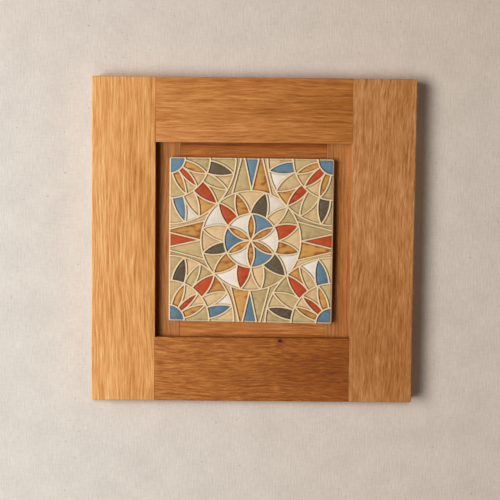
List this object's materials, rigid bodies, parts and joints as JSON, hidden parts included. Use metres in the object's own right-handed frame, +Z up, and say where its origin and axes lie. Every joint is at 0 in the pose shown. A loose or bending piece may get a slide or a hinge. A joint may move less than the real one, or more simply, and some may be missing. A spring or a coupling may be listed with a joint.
{
  "type": "mosaic tile wall panel",
  "caption": "Square wall plaque: a relief-glazed mosaic-pattern tile on a recessed oak inner frame, in a wide flat oak frame, hung by a keyhole slot in its back.",
  "frame": {"origin": "on the flat back of the top rail, at mid-width, 40 mm below the plaque's top edge", "axes": "+X to the right as seen by someone facing the plaque, +Y into the wall, +Z up"},
  "size_m": [0.3, 0.019, 0.3016],
  "materials": {
    "oak": "oiled oak, straight-grained, satin",
    "inner_oak": "oiled oak, slightly darker, satin",
    "glazed_tile": "opaque glazed stoneware in blue, ochre, red, sage, white and charcoal, with raised cream lines"
  },
  "bodies": {
    "root": {"left_stile": "oak", "right_stile": "oak", "top_rail": "oak", "bottom_rail": "oak", "inner_left_stile": "inner_oak", "inner_right_stile": "inner_oak", "inner_top_rail": "inner_oak", "inner_bottom_rail": "inner_oak", "mosaic_tile": "glazed_tile"}
  },
  "joints": []
}
